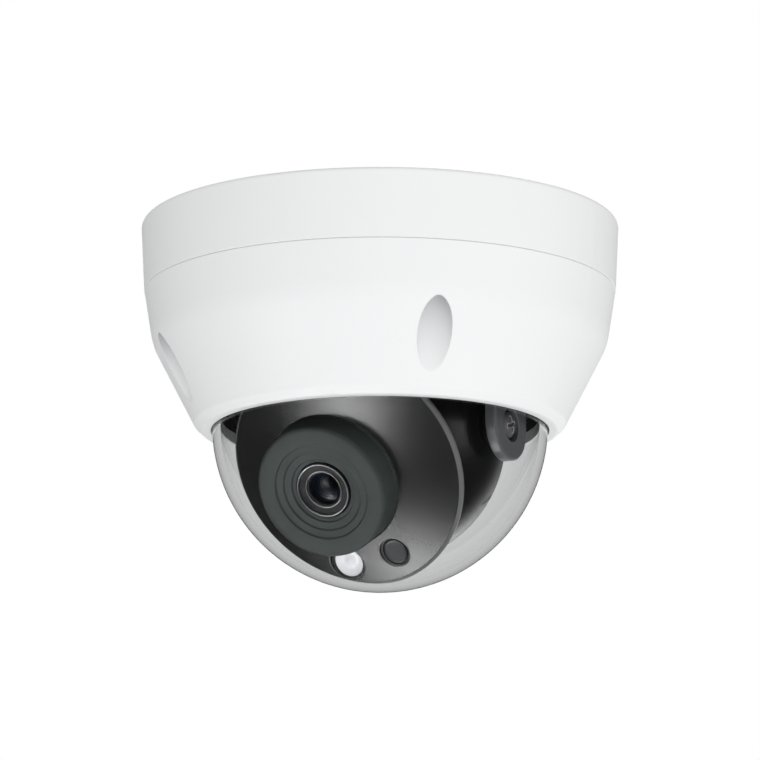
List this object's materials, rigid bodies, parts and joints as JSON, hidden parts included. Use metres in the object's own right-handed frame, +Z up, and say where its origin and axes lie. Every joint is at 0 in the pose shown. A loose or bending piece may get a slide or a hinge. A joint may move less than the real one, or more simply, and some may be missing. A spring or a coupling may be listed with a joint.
{
  "type": "dome cctv camera",
  "caption": "Ceiling mini dome camera: white metal base and tapering cover, clear dome, and an eyeball with a hooded lens that pans, tilts and rolls.",
  "frame": {"origin": "centre of the flat ceiling face of the mounting base", "axes": "+Z up into the ceiling, -Y where the lens faces at rest, +X to the right of someone looking along +Y"},
  "size_m": [0.1098, 0.1098, 0.085],
  "materials": {
    "housing_white": "fine satin powder coat, cool white",
    "seal_rubber": "matte black silicone",
    "security_steel": "bright turned steel",
    "ring_steel": "satin pressed steel",
    "screw_steel": "zinc plated",
    "pivot_steel": "black oxide with bright recess edges",
    "dome_clear": "clear polished polycarbonate",
    "board_green": "green solder mask",
    "board_black": "black solder mask",
    "chip_black": "moulded epoxy",
    "pad_grey": "soft grey heat pad",
    "connector_white": "ivory nylon",
    "frame_black": "fine textured black",
    "arm_grey": "satin mid grey",
    "washer_nylon": "natural nylon",
    "insert_brass": "knurled brass",
    "ball_black": "satin black",
    "mask_grey": "smooth satin charcoal with a bright bevelled rim",
    "hood_rubber": "matte dark green-grey",
    "barrel_black": "black anodised with a bright turned bezel",
    "lens_glass": "coated optical glass, blue-violet sheen",
    "lamp_clear": "clear moulded lens",
    "lamp_white": "white ceramic package",
    "collar_black": "black",
    "window_smoked": "smoked acrylic"
  },
  "bodies": {
    "housing": {"mounting_base": "housing_white", "ceiling_seal": "seal_rubber", "cable_grommet": "seal_rubber", "cover_seal": "seal_rubber", "cover_shell": "housing_white", "cover_screws": "security_steel", "screw_clips": "security_steel", "dome_bubble": "dome_clear", "dome_seal": "seal_rubber", "dome_clamp_ring": "ring_steel", "dome_ring_screws": "screw_steel", "main_board": "board_green", "board_screws": "screw_steel", "system_chip": "chip_black", "thermal_pad": "pad_grey", "network_transformer": "chip_black", "lead_connector": "connector_white", "inner_frame": "frame_black", "frame_screws": "screw_steel", "pan_clamp_ring": "ring_steel", "clamp_ring_screws": "screw_steel"},
    "pan_stage": {"pan_turntable": "frame_black", "left_arm": "arm_grey", "right_arm": "arm_grey", "arm_screws": "screw_steel"},
    "tilt_stage": {"tilt_screws": "pivot_steel", "tilt_washers": "washer_nylon", "pivot_inserts": "insert_brass", "rear_shell": "ball_black"},
    "front_stage": {"front_mask": "mask_grey", "roll_retainer": "frame_black", "retainer_screws": "screw_steel", "lens_hood": "hood_rubber", "lens_barrel": "barrel_black", "front_lens": "lens_glass", "rear_lens": "lens_glass", "lens_lock_ring": "barrel_black", "lens_holder": "frame_black", "infrared_filter": "lens_glass", "image_sensor": "chip_black", "sensor_board": "board_green", "sensor_board_screws": "screw_steel", "lamp_board": "board_black", "infrared_led": "lamp_white", "lamp_lens": "lamp_clear", "lamp_collar": "collar_black", "light_sensor": "chip_black", "light_sensor_window": "window_smoked"}
  },
  "joints": [
    {"name": "pan", "type": "hinge", "parent": "housing", "child": "pan_stage", "pos_m": [0, 0, 0], "axis": [0, 0, 1], "range_deg": [-177.5, 177.5]},
    {"name": "tilt", "type": "hinge", "parent": "pan_stage", "child": "tilt_stage", "pos_m": [0, 0, -0.0498], "axis": [1, 0, 0], "range_deg": [-32, 33]},
    {"name": "roll", "type": "hinge", "parent": "tilt_stage", "child": "front_stage", "pos_m": [0, 0, -0.0498], "axis": [0, -0.848, -0.5299], "range_deg": [-177.5, 177.5]}
  ]
}
